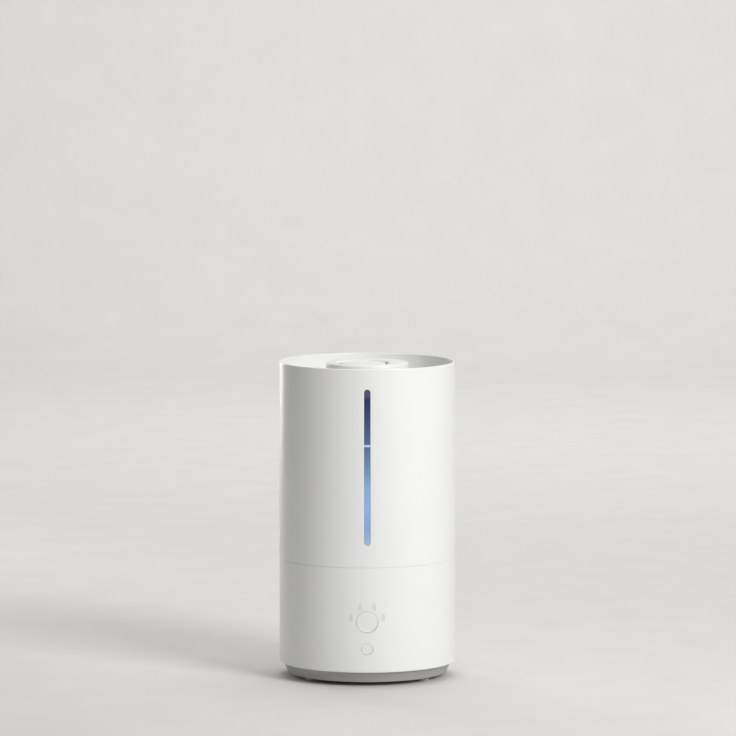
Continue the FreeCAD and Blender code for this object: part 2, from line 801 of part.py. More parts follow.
PIECES = [
    tank_shell, tank_vessel, mist_duct, tank_spigot, valve_neck, tank_magnet,
    window_lens, window_gasket, level_mark,
    valve_cap, valve_cap_seal, valve_stem, valve_seal, valve_spring,
    lid_deck, lid_collar, lid_tube, lid_seal, splash_baffle,
    nozzle_platform, outlet_ring, nozzle_cap,
    base_shell, base_deck, air_stack, light_well, basin_posts, deck_legs, tank_gasket,
    transducer_gasket, transducer_disc, transducer_clamp, light_lens, light_board,
    float_clip, float_body, float_magnet, reed_switches,
    air_duct, fan_housing, fan_motor, fan_impeller,
    main_board, transformer, capacitors, heat_sink, terminal_block,
    control_board, tact_switches, indicator_leds, light_guides, mode_button, power_button,
    cord_gland, humidity_sensor, bottom_tray, screws, intake_filter, feet,
]


os.makedirs("parts", exist_ok=True)
for piece in PIECES:
    shape = piece()
    shape.exportStep("parts/%s.step" % piece.__name__)
    print("%-18s solids %d  volume %.2f cm3  valid %s" % (
        piece.__name__, len(shape.Solids), shape.Volume / 1000.0, shape.isValid()))
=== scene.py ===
import bmesh
import bpy
import json
import math
from mathutils import Matrix, Vector


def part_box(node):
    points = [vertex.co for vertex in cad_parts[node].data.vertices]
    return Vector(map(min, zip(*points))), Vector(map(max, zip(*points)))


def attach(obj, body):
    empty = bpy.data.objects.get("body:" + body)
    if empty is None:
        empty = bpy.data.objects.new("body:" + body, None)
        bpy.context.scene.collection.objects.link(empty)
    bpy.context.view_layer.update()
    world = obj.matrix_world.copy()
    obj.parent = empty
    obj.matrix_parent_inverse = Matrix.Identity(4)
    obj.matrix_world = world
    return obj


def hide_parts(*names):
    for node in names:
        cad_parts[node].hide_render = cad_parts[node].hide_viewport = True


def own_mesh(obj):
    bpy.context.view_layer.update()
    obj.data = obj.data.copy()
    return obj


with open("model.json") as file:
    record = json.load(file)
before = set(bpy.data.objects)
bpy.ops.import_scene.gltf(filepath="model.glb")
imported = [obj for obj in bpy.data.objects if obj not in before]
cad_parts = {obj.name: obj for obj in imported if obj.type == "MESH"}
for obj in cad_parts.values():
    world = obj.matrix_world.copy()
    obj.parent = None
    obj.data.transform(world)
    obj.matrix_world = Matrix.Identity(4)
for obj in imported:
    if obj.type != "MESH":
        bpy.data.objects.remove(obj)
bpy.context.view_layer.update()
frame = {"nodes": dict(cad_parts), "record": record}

# Lengths in this script are millimetres unless a name says otherwise; Blender's are metres.
MM = 0.001
ROUND_STEPS = 192        # facets around a large turned piece
CORNER_STEPS = 5         # facets in a rounded corner


def node_box(node):
    """A CAD node's lowest and highest corner, in millimetres."""
    low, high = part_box(node)
    return low / MM, high / MM


# ---- sizes that come from the frame ----------------------------------------------------------

tank_low, tank_high = node_box("tank_shell")
base_low, base_high = node_box("base_shell")
tray_low, tray_high = node_box("bottom_tray")
lid_low, lid_high = node_box("lid_deck")
drum_low, drum_high = node_box("nozzle_platform")
cap_low, cap_high = node_box("nozzle_cap")
vessel_low, vessel_high = node_box("tank_vessel")
mark_low, mark_high = node_box("level_mark")
mode_low, mode_high = node_box("mode_button")
power_low, power_high = node_box("power_button")
gland_low, gland_high = node_box("cord_gland")
duct_high = node_box("mist_duct")[1]
neck_low, neck_high = node_box("valve_neck")
tube_high = node_box("lid_tube")[1]
basin_low, basin_high = node_box("base_deck")
stack_low, stack_high = node_box("air_stack")
light_low, light_high = node_box("light_well")

BODY_R = base_high.x
WALL = 2.5
RIM_Z = tank_high.z
SEAM_HIGH = tank_low.z
SEAM_LOW = base_high.z
SHELL_LOW = base_low.z
INNER_R = BODY_R - WALL
LID_R = lid_high.x
DECK_LOW = lid_low.z
DECK_TOP = DECK_LOW + 3.0
DRUM_R = drum_high.x
CAP_X = (cap_low.x + cap_high.x) / 2
CAP_Y = (cap_low.y + cap_high.y) / 2
CAP_R = (cap_high.x - cap_low.x) / 2
WELL_R = CAP_R + 4.7
VESSEL_R = vessel_high.x
VESSEL_FLOOR = vessel_low.z
MODE_Z = (mode_low.z + mode_high.z) / 2
POWER_Z = (power_low.z + power_high.z) / 2
MODE_HOLE_R = 12.2
POWER_HOLE_R = 6.5
GLAND_Z = (gland_low.z + gland_high.z) / 2
WINDOW_W = (mark_high.x - mark_low.x) + 0.2
WINDOW_HIGH = 333.4
WINDOW_LOW = 158.9
CUTTER_OUTSIDE = BODY_R + 1.5    # where a wall cutter ends, from the axis
CUTTER_INSIDE = 88.0


# ---- mesh helpers ----------------------------------------------------------------------------

def new_object(name, verts, faces):
    """Mesh object from points in millimetres."""
    mesh = bpy.data.meshes.new(name)
    mesh.from_pydata([tuple(c * MM for c in v) for v in verts], [], faces)
    mesh.validate()
    obj = bpy.data.objects.new(name, mesh)
    bpy.context.scene.collection.objects.link(obj)
    bm = bmesh.new()
    bm.from_mesh(mesh)
    bmesh.ops.recalc_face_normals(bm, faces=bm.faces)
    bm.to_mesh(mesh)
    bm.free()
    return obj


def soften(points, steps=CORNER_STEPS):
    """Closed outline of (a, b, corner radius) points, with each corner drawn as an arc."""
    out = []
    count = len(points)
    for i, (x, y, radius) in enumerate(points):
        here = Vector((x, y))
        before = Vector(points[i - 1][:2]) - here
        after = Vector(points[(i + 1) % count][:2]) - here
        if radius <= 0 or before.length < 1e-6 or after.length < 1e-6:
            out.append((x, y))
            continue
        angle = before.angle(after)
        if angle > math.pi - 0.02:
            out.append((x, y))
            continue
        reach = min(radius / math.tan(angle / 2), 0.49 * before.length, 0.49 * after.length)
        start = here + before.normalized() * reach
        end = here + after.normalized() * reach
        for k in range(steps + 1):
            t = k / steps
            point = start * (1 - t) ** 2 + here * 2 * t * (1 - t) + end * t ** 2
            out.append((point.x, point.y))
    return out


def lathe(name, points, x=0.0, y=0.0, steps=ROUND_STEPS):
    """Turned piece from a closed outline of (radius, height, corner radius) points."""
    outline = soften(points)
    verts = []
    rows = []
    for r, z in outline:
        if r < 1e-6:
            rows.append([len(verts)] * steps)
            verts.append((x, y, z))
        else:
            rows.append(list(range(len(verts), len(verts) + steps)))
            for k in range(steps):
                a = 2 * math.pi * k / steps
                verts.append((x + r * math.sin(a), y - r * math.cos(a), z))
    faces = []
    for i, row in enumerate(rows):
        following = rows[(i + 1) % len(rows)]
        if row[0] == row[1] and following[0] == following[1]:
            continue
        for k in range(steps):
            n = (k + 1) % steps
            corner = [row[k], row[n], following[n], following[k]]
            corner = [c for j, c in enumerate(corner) if c != corner[j - 1]]
            if len(corner) > 2:
                faces.append(corner)
    return new_object(name, verts, faces)


def stadium(width, height, offset=0.0, arc=12):
    """Upright slot outline about the origin, grown by offset: (x, z) points."""
    r = max(width / 2 + offset, 0.02)
    straight = (height - width) / 2
    shared = 1 if straight < 1e-6 else 0
    points = []
    for k in range(arc + 1 - shared):
        a = math.pi * k / arc
        points.append((r * math.cos(a), straight + r * math.sin(a)))
    for k in range(arc + 1 - shared):
        a = math.pi + math.pi * k / arc
        points.append((r * math.cos(a), -straight + r * math.sin(a)))
    return points


def wall_plug(name, width, height, x, z, layers, arc=12, ends=None, back=False):
    """Plug set in the round wall: layers are (depth below the wall's surface, offset).

    With ends, two more layers close it on flat planes at those depths from the axis.
    """
    turn = -1.0 if back else 1.0
    verts = []
    rings = []

    def ring(offset, depth_at):
        outline = stadium(width, height, offset, arc)
        rings.append(range(len(verts), len(verts) + len(outline)))
        for px, pz in outline:
            wx = x + px
            verts.append((wx, depth_at(wx) * turn, z + pz))

    if ends:
        ring(layers[0][1], lambda wx: -ends[0])
    for depth, offset in layers:
        ring(offset, lambda wx: -math.sqrt(BODY_R ** 2 - wx ** 2) + depth)
    if ends:
        ring(layers[-1][1], lambda wx: -ends[1])
    faces = [list(rings[0]), list(rings[-1])]
    count = len(rings[0])
    for first, second in zip(rings, rings[1:]):
        for k in range(count):
            n = (k + 1) % count
            faces.append([first[k], first[n], second[n], second[k]])
    return new_object(name, verts, faces)


def wall_hole(width, height, x, z, edge, arc=12, back=False):
    """Cutter for a hole through the round wall with a softened outer edge."""
    layers = [(-0.2 * edge, 1.2 * edge), (0.05 * edge, 0.75 * edge), (0.3 * edge, 0.35 * edge),
              (0.65 * edge, 0.1 * edge), (1.1 * edge, 0.0)]
    return wall_plug("hole", width, height, x, z, layers, arc,
                     (CUTTER_OUTSIDE, CUTTER_INSIDE), back)


def box_piece(name, x0, x1, y0, y1, z0, z1):
    corners = [(x, y, z) for z in (z0, z1) for y in (y0, y1) for x in (x0, x1)]
    faces = [(0, 1, 3, 2), (4, 6, 7, 5), (0, 4, 5, 1), (2, 3, 7, 6), (0, 2, 6, 4), (1, 5, 7, 3)]
    return new_object(name, corners, faces)


def bake_modifiers(obj):
    graph = bpy.context.evaluated_depsgraph_get()
    graph.update()
    mesh = bpy.data.meshes.new_from_object(obj.evaluated_get(graph))
    obj.modifiers.clear()
    obj.data = mesh
    return obj


def combine(obj, others, operation):
    """Boolean with a list of tools, which are then removed."""
    bpy.context.view_layer.update()
    for tool in others:
        step = obj.modifiers.new(operation, "BOOLEAN")
        step.operation = operation
        step.solver = "EXACT"
        step.object = tool
    bake_modifiers(obj)
    for tool in others:
        bpy.data.objects.remove(tool)
    return obj


def cut(obj, tools):
    for tool in tools:
        bm = bmesh.new()
        bm.from_mesh(tool.data)
        bmesh.ops.triangulate(bm, faces=bm.faces)
        bm.to_mesh(tool.data)
        bm.free()
    return combine(obj, tools, "DIFFERENCE")


def smooth(obj, angle=28.0, radii=()):
    """Smooth shading split at sharp edges; loops on the given round walls face straight out."""
    mesh = obj.data
    for polygon in mesh.polygons:
        polygon.use_smooth = True
    mesh.set_sharp_from_angle(angle=math.radians(angle))
    if not radii:
        return obj
    normals = [Vector((0, 0, 0))] * len(mesh.loops)
    for polygon in mesh.polygons:
        if abs(polygon.normal.z) > 0.02:
            continue
        for radius in radii:
            if all(abs(math.hypot(*mesh.vertices[v].co.xy) / MM - radius) < 0.02
                   for v in polygon.vertices):
                for index in polygon.loop_indices:
                    co = mesh.vertices[mesh.loops[index].vertex_index].co
                    normal = Vector((co.x, co.y, 0)).normalized()
                    normals[index] = normal if normal.dot(polygon.normal) > 0 else -normal
    mesh.normals_split_custom_set(normals)
    return obj


def rounded_edges(obj, width, segments=3):
    bevel = obj.modifiers.new("round", "BEVEL")
    bevel.width = width * MM
    bevel.segments = segments
    bevel.limit_method = "ANGLE"
    bake_modifiers(obj)
    return smooth(obj, 40.0)


def place(obj, body, slot, material, *nodes):
    """Dress a piece, let it ride on its body and stand for its CAD nodes."""
    obj.data.materials.clear()
    obj.data.materials.append(material)
    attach(obj, body)
    if nodes:
        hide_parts(*nodes)
    return obj


# ---- materials -------------------------------------------------------------------------------

class Nodes:
    """A material's node tree with a short way to add and join nodes."""

    def __init__(self, name):
        self.material = bpy.data.materials.new(name)
        self.material.use_nodes = True
        self.tree = self.material.node_tree
        self.shader = self.tree.nodes["Principled BSDF"]
        self.place = self.add("ShaderNodeTexCoord").outputs["Object"]

    def add(self, kind, **settings):
        node = self.tree.nodes.new(kind)
        for key, value in settings.items():
            setattr(node, key, value)
        return node

    def join(self, source, target):
        self.tree.links.new(source, target)

    def noise(self, scale, detail=2.0, stretch=None):
        node = self.add("ShaderNodeTexNoise")
        node.inputs["Scale"].default_value = scale
        node.inputs["Detail"].default_value = detail
        source = self.place
        if stretch:
            mapping = self.add("ShaderNodeMapping")
            mapping.inputs["Scale"].default_value = stretch
            self.join(self.place, mapping.inputs["Vector"])
            source = mapping.outputs["Vector"]
        self.join(source, node.inputs["Vector"])
        return node.outputs["Fac"]

    def ramp(self, source, stops):
        node = self.add("ShaderNodeValToRGB")
        elements = node.color_ramp.elements
        while len(elements) < len(stops):
            elements.new(0.5)
        for element, (position, color) in zip(elements, stops):
            element.position = position
            element.color = (*color, 1.0)
        self.join(source, node.inputs["Fac"])
        return node.outputs["Color"]

    def span(self, source, low, high, to_low=0.0, to_high=1.0):
        node = self.add("ShaderNodeMapRange")
        node.inputs["From Min"].default_value = low
        node.inputs["From Max"].default_value = high
        node.inputs["To Min"].default_value = to_low
        node.inputs["To Max"].default_value = to_high
        self.join(source, node.inputs["Value"])
        return node.outputs["Result"]

    def bump(self, source, strength, distance_mm):
        node = self.add("ShaderNodeBump")
        node.inputs["Strength"].default_value = strength
        node.inputs["Distance"].default_value = distance_mm * MM
        self.join(source, node.inputs["Height"])
        self.join(node.outputs["Normal"], self.shader.inputs["Normal"])

    def set(self, **values):
        for key, value in values.items():
            self.shader.inputs[key.replace("_", " ")].default_value = value


def shade(color, factor):
    return tuple(min(1.0, c * factor) for c in color)


def moulded(name, color, roughness=0.4, grain=900.0, grain_strength=0.15, grain_mm=0.02,
            variation=0.02, **more):
    """Moulded plastic or rubber: faint mottling, fine surface grain, uneven gloss."""
    n = Nodes(name)
    mottle = n.noise(14.0, 3.0)
    stops = [(0.3, shade(color, 1 - variation)), (0.7, shade(color, 1 + variation))]
    n.join(n.ramp(mottle, stops), n.shader.inputs["Base Color"])
    gloss = n.noise(60.0, 2.0)
    n.join(n.span(gloss, 0.3, 0.7, roughness - 0.03, roughness + 0.03),
           n.shader.inputs["Roughness"])
    n.bump(n.noise(grain, 2.0), grain_strength, grain_mm)
    n.set(**more)
    return n.material


def metal(name, color, roughness=0.3, stretch=(1.0, 1.0, 30.0)):
    """Metal with fine drawn lines."""
    n = Nodes(name)
    lines = n.noise(500.0, 3.0, stretch)
    n.join(n.ramp(lines, [(0.25, shade(color, 0.85)), (0.75, shade(color, 1.1))]),
           n.shader.inputs["Base Color"])
    n.join(n.span(lines, 0.2, 0.8, roughness - 0.08, roughness + 0.1),
           n.shader.inputs["Roughness"])
    n.bump(lines, 0.1, 0.01)
    n.set(Metallic=1.0)
    return n.material


def lit_window():
    """Water window with painted light: a blue glow, brighter towards the lamp in the base, stands
    in for the lamp's light in the water, and the dark above the water is painted shade.
    """
    n = Nodes("window_light")
    split = n.add("ShaderNodeSeparateXYZ")
    n.join(n.place, split.inputs["Vector"])
    height = n.span(split.outputs["Z"], WINDOW_LOW * MM, WINDOW_HIGH * MM)
    # painted light: this ramp is both the base colour and the emitted glow, lit water low down
    # and painted shade high up
    ramp = n.ramp(height, [
        (0.00, (0.26, 0.33, 0.41)), (0.04, (0.21, 0.29, 0.46)), (0.11, (0.16, 0.25, 0.45)),
        (0.24, (0.19, 0.29, 0.51)), (0.37, (0.165, 0.27, 0.45)), (0.50, (0.10, 0.17, 0.29)),
        (0.66, (0.05, 0.09, 0.17)), (0.82, (0.026, 0.04, 0.105)), (0.93, (0.014, 0.021, 0.06)),
        (0.96, (0.045, 0.058, 0.10)), (1.00, (0.05, 0.06, 0.08)),
    ])
    n.join(ramp, n.shader.inputs["Base Color"])
    n.join(ramp, n.shader.inputs["Emission Color"])
    n.bump(n.noise(300.0), 0.05, 0.02)
    n.set(Emission_Strength=0.55, Roughness=0.12)
    return n.material


WHITE = (0.86, 0.86, 0.852)
white_shell = moulded("white_satin", WHITE, roughness=0.36, variation=0.008)
white_lid = moulded("white_lid", WHITE, roughness=0.4, variation=0.008)
tray_grey = moulded("tray_grey", (0.40, 0.395, 0.385), roughness=0.5, grain_strength=0.3)
foot_rubber = moulded("foot_rubber", (0.50, 0.50, 0.49), roughness=0.6)
window_light = lit_window()
# painted glow: the level line emits its blue though it is no lamp
level_line = moulded("level_line", (0.38, 0.50, 0.72), roughness=0.2,
                     Emission_Color=(0.38, 0.50, 0.72, 1.0), Emission_Strength=0.3)
light_guide = moulded("light_guide", (0.80, 0.80, 0.79), roughness=0.3)
silicone = moulded("silicone", (0.66, 0.67, 0.69), roughness=0.6)
tank_plastic = moulded("tank_plastic", (0.70, 0.80, 0.90), roughness=0.18,
                       Transmission_Weight=0.6, IOR=1.45)
clear_plastic = moulded("clear_plastic", (0.8, 0.88, 0.98), roughness=0.1,
                        Transmission_Weight=0.8)
deck_plastic = moulded("deck_plastic", (0.74, 0.75, 0.77), roughness=0.42)
valve_plastic = moulded("valve_plastic", (0.45, 0.50, 0.56), roughness=0.45)
float_plastic = moulded("float_plastic", (0.7, 0.72, 0.75), roughness=0.5)
duct_plastic = moulded("duct_plastic", (0.55, 0.56, 0.58), roughness=0.5)
black_plastic = moulded("black_plastic", (0.03, 0.03, 0.033), roughness=0.45, grain_strength=0.3)
board_green = moulded("board_green", (0.02, 0.12, 0.06), roughness=0.3, grain=400.0)
lamp = moulded("lamp", (0.85, 0.85, 0.7), roughness=0.15)
glass_reed = moulded("glass_reed", (0.5, 0.55, 0.52), roughness=0.15)
filter_foam = moulded("filter_foam", (0.03, 0.03, 0.033), roughness=0.9, grain=500.0,
                      grain_strength=1.0, grain_mm=0.4, variation=0.4)
gland_rubber = moulded("gland_rubber", (0.6, 0.6, 0.6), roughness=0.6)
steel = metal("steel", (0.6, 0.6, 0.61), roughness=0.28)
magnet = metal("magnet", (0.3, 0.3, 0.32), roughness=0.35)
transducer_metal = metal("transducer_metal", (0.75, 0.74, 0.7), roughness=0.3)
aluminium = metal("aluminium", (0.68, 0.69, 0.71), roughness=0.4)
motor_metal = metal("motor_metal", (0.25, 0.25, 0.27), roughness=0.45)

by_slot = {
    "white_shell": white_shell, "white_lid": white_lid, "deck_plastic": deck_plastic,
    "tank_plastic": tank_plastic, "window_blue": window_light, "level_line": level_line,
    "silicone": silicone, "valve_plastic": valve_plastic, "float_plastic": float_plastic,
    "steel": steel, "magnet": magnet, "transducer_metal": transducer_metal,
    "aluminium": aluminium, "clear_plastic": clear_plastic, "light_guide": light_guide,
    "lamp": lamp, "board_green": board_green, "glass_reed": glass_reed,
    "black_plastic": black_plastic, "motor_metal": motor_metal, "duct_plastic": duct_plastic,
    "tray_grey": tray_grey, "filter_foam": filter_foam, "gland_rubber": gland_rubber,
    "foot_rubber": foot_rubber,
}
for part in frame["record"]["subparts"]:
    node = frame["nodes"][part["node"]]
    node.data.materials.clear()
    node.data.materials.append(by_slot[part["material_slot"]])


# ---- camera, lights and stage ----------------------------------------------------------------

def aim(obj, target):
    obj.rotation_euler = (Vector(target) - obj.location).to_track_quat("-Z", "Y").to_euler()


def make_camera():
    data = bpy.data.cameras.new("camera")
    data.sensor_width = 36.0
    data.lens = 259.4
    camera = bpy.data.objects.new("camera", data)
    camera.location = (0.0009, -5.94, 0.9277)
    aim(camera, (0.0009, 0.0, 0.3479))
    bpy.context.scene.collection.objects.link(camera)
    bpy.context.scene.camera = camera


def make_light(name, place, target, width, height, power, spread=180.0):
    data = bpy.data.lights.new(name, "AREA")
    data.shape = "RECTANGLE"
    data.size = width
    data.size_y = height
    data.energy = power
    data.spread = math.radians(spread)
    light = bpy.data.objects.new(name, data)
    light.location = place
    light.visible_camera = False
    aim(light, target)
    bpy.context.scene.collection.objects.link(light)


def make_stage():
    """Pale floor that sweeps up into a backdrop behind the object."""
    half, front, back, top, bend = 9000.0, -12000.0, 4300.0, 4000.0, 900.0
    profile = [(front, 0.0), (-1500.0, 0.0), (1500.0, 0.0)]
    for k in range(17):
        a = math.pi / 2 * k / 16
        profile.append((back - bend + bend * math.sin(a), bend - bend * math.cos(a)))
    profile.append((back, top))
    verts = [(x, y, z) for y, z in profile for x in (-half, half)]
    faces = [(2 * i, 2 * i + 1, 2 * i + 3, 2 * i + 2) for i in range(len(profile) - 1)]
    stage = new_object("stage_sweep", verts, faces)
    for polygon in stage.data.polygons:
        polygon.use_smooth = True
    stage.data.materials.append(moulded("stage_paint", (0.73, 0.725, 0.71), roughness=0.85))


def make_world():
    world = bpy.data.worlds.new("studio")
    world.use_nodes = True
    background = world.node_tree.nodes["Background"]
    background.inputs["Color"].default_value = (1.0, 1.0, 0.985, 1.0)
    background.inputs["Strength"].default_value = 0.27
    bpy.context.scene.world = world
    bpy.context.scene.view_settings.view_transform = "Standard"


make_camera()
make_world()
make_stage()
make_light("key", (1.62, -1.9, 1.5), (0, 0, 0.2), 1.0, 1.4, 51.0)
make_light("rim", (-1.0, 1.8, 0.45), (0, 0, 0.2), 0.35, 0.8, 0.75, 50.0)
make_light("overhead", (0.1, 0.3, 2.2), (0, 0, 0.3), 1.6, 1.6, 16.0)
make_light("backdrop", (0.3, 2.0, 2.7), (0.3, 4.3, 0.5), 3.0, 0.8, 60.0)


# ---- tank ------------------------------------------------------------------------------------

window_h = WINDOW_HIGH - WINDOW_LOW
window_z = (WINDOW_HIGH + WINDOW_LOW) / 2
valve_x = (neck_low.x + neck_high.x) / 2


def turned_piece(name, body, slot, nodes, points, x=0.0, y=0.0, steps=ROUND_STEPS):
    """Turned piece, shaded, dressed from its slot and set on its body."""
    obj = lathe(name, points, x, y, steps)
    smooth(obj)
    return place(obj, body, slot, by_slot[slot], *nodes)


def tube_points(inner, outer, low, high, edge=0.4):
    return [(inner, low, edge), (outer, low, edge), (outer, high, edge), (inner, high, edge)]


def tube_piece(name, body, slot, node, edge=0.5, inner=None, steps=96):
    """Plain upright tube over a CAD node's box, with rounded rims."""
    low, high = node_box(node)
    outer = (high.x - low.x) / 2
    return turned_piece(name, body, slot, [node],
                        tube_points(inner, outer, low.z, high.z, edge),
                        (low.x + high.x) / 2, (low.y + high.y) / 2, steps)


def upright_hole(r, x, y, low, high, steps=64):
    return lathe("hole", [(0, low, 0), (r, low, 0), (r, high, 0), (0, high, 0)], x, y, steps)


def make_tank():
    ledge_top = VESSEL_FLOOR
    ledge_low = ledge_top - 2.5
    ledge_r = 90.0
    wall = lathe("tank_wall", [
        (INNER_R, SEAM_HIGH, 0.4), (BODY_R, SEAM_HIGH, 0.3), (BODY_R, RIM_Z, 1.2),
        (INNER_R, RIM_Z, 1.2), (INNER_R, ledge_top, 0), (ledge_r, ledge_top, 0.4),
        (ledge_r, ledge_low, 0.4), (INNER_R, ledge_low, 0),
    ])
    cut(wall, [wall_hole(WINDOW_W, window_h, 0, window_z, 0.5, 16)])
    smooth(wall, radii=(BODY_R, INNER_R))
    place(wall, "tank", "white_shell", white_shell, "tank_shell")

    lens = wall_plug("window_strip", WINDOW_W, window_h, 0, window_z,
                     [(3.6, -0.1), (0.95, -0.1), (0.75, -0.25), (0.68, -0.6), (0.62, -1.6),
                      (0.6, -3.3)], 16)
    smooth(lens, 50.0)
    place(lens, "tank", "window_blue", window_light, "window_lens")

    mark = box_piece("water_line", mark_low.x, mark_high.x, -BODY_R + 0.25, -BODY_R + 1.2,
                     mark_low.z, mark_high.z)
    rounded_edges(mark, 0.2)
    place(mark, "tank", "level_line", level_line, "level_mark")


def make_vessel():
    floor_top = VESSEL_FLOOR + WALL
    inner = VESSEL_R - WALL
    cup = lathe("vessel_cup", [
        (duct_high.x + 0.1, VESSEL_FLOOR, 0.2), (VESSEL_R, VESSEL_FLOOR, 1.0),
        (VESSEL_R, vessel_high.z, 1.0), (inner, vessel_high.z, 1.0), (inner, floor_top, 4.0),
        (duct_high.x + 0.1, floor_top, 0.2),
    ])
    neck_r = (neck_high.x - neck_low.x) / 2
    cut(cup, [upright_hole(neck_r + 0.1, valve_x, 0, VESSEL_FLOOR - 1, floor_top + 1)])
    smooth(cup)
    place(cup, "tank", "tank_plastic", tank_plastic, "tank_vessel")
    tube_piece("mist_pipe", "tank", "tank_plastic", "mist_duct", 0.9, 15.0)
    tube_piece("neck_pipe", "tank", "tank_plastic", "valve_neck", 0.6, 20.0)
    tube_piece("spigot_ring", "tank", "tank_plastic", "tank_spigot", 1.1, 78.0, ROUND_STEPS)


def make_spring():
    """The valve's coil spring, with even turns between the ends of its CAD node's box."""
    low, high = node_box("valve_spring")
    wire_r, coil_r, turns, steps, sides = 0.5, 4.6, 5, 40, 10
    count = turns * steps
    verts = []
    for i in range(count + 1):
        a = 2 * math.pi * i / steps
        z = low.z + wire_r + (high.z - low.z - 2 * wire_r) * i / count
        for k in range(sides):
            b = 2 * math.pi * k / sides
            r = coil_r + wire_r * math.cos(b)
            verts.append((valve_x + r * math.cos(a), r * math.sin(a), z + wire_r * math.sin(b)))
    faces = [list(range(sides)), list(range(count * sides, (count + 1) * sides))]
    for i in range(count):
        for k in range(sides):
            n = (k + 1) % sides
            faces.append([i * sides + k, i * sides + n, (i + 1) * sides + n, (i + 1) * sides + k])
    spring = new_object("valve_coil", verts, faces)
    smooth(spring, 50.0)
    place(spring, "tank", "steel", steel, "valve_spring")
    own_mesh(spring)


make_tank()
make_vessel()
make_spring()


# ---- lid and nozzle --------------------------------------------------------------------------

def arc_slot(name, inner, outer, span, angle, low, high, corner=3.0):
    """Cutter for a slot that follows a circle, with rounded corners; angle is from +X."""
    middle = (inner + outer) / 2
    half = math.radians(span) / 2 * middle
    outline = [(-half, inner, corner), (half, inner, corner), (half, outer, corner),
               (-half, outer, corner)]
    path = []
    for (u0, r0), (u1, r1) in pairs(soften(outline)):
        count = max(1, round(math.hypot(u1 - u0, r1 - r0) / 3.0))
        for k in range(count):
            path.append((u0 + (u1 - u0) * k / count, r0 + (r1 - r0) * k / count))
    verts = []
    for z in (low, high):
        for u, r in path:
            a = math.radians(angle) + u / middle
            verts.append((r * math.cos(a), r * math.sin(a), z))
    count = len(path)
    faces = [list(range(count)), list(range(count, 2 * count))]
    for k in range(count):
        n = (k + 1) % count
        faces.append([k, n, n + count, k + count])
    return new_object(name, verts, faces)


def pairs(points):
    return zip(points, points[1:] + points[:1])


def spoke_piece(name, length, half, low, high, angle, x, y, body, slot, start=0.0):
    """Flat arm from a centre outwards, with rounded edges."""
    arm = box_piece(name, start, length, -half, half, low, high)
    rounded_edges(arm, 0.45)
    arm.data.transform(Matrix.Rotation(math.radians(angle), 4, "Z"))
    arm.data.transform(Matrix.Translation((x * MM, y * MM, 0)))
    return place(arm, body, slot, by_slot[slot])


def make_lid():
    hole = tube_high.x + 0.1
    lip = lid_high.z
    plate = lathe("lid_plate", [
        (hole, DECK_LOW, 0.2), (LID_R, DECK_LOW, 0.5), (LID_R, lip, 0.6),
        (LID_R - 1.6, lip, 0.5), (LID_R - 2.6, DECK_TOP, 0.8), (hole, DECK_TOP, 0.2),
    ])
    fill_inner, fill_outer, fill_span, count = 62.0, 78.0, 42.0, 6
    slots = [arc_slot("slot", fill_inner, fill_outer, fill_span, 360.0 / count * i + 30.0,
                      DECK_LOW - 2, DECK_TOP + 2) for i in range(count)]
    cut(plate, slots)
    rims = plate.modifiers.new("round", "BEVEL")
    rims.width = 0.35 * MM
    rims.segments = 2
    rims.limit_method = "ANGLE"
    rims.angle_limit = math.radians(50.0)
    bake_modifiers(plate)
    smooth(plate, 40.0)
    place(plate, "lid", "white_lid", white_lid, "lid_deck")
    tube_piece("collar_ring", "lid", "white_lid", "lid_collar", 0.8, 41.0, 128)
    tube_piece("lid_pipe", "lid", "white_lid", "lid_tube", 0.6, 18.0)

    low, high = node_box("splash_baffle")
    plate_low = high.z - 1.5
    turned_piece("baffle_disc", "lid", "white_lid", ["splash_baffle"], [
        (0, plate_low, 0), (14.5, plate_low, 0.5), (14.5, high.z, 0.6), (6.0, high.z, 3.0),
        (0, high.z, 0),
    ], steps=96)
    for i in range(3):
        angle = 90 + 120 * i
        spoke_piece("baffle_arm_%d" % i, 24.0, 2.0, plate_low + 0.05, high.z - 0.05, angle,
                    0, 0, "lid", "white_lid", start=14.0)
        a = math.radians(angle)
        turned_piece("baffle_leg_%d" % i, "lid", "white_lid", [], [
            (0, low.z, 0), (1.4, low.z, 0.2), (1.4, plate_low + 0.2, 0), (0, plate_low + 0.2, 0),
        ], 22.5 * math.cos(a), 22.5 * math.sin(a), 32)


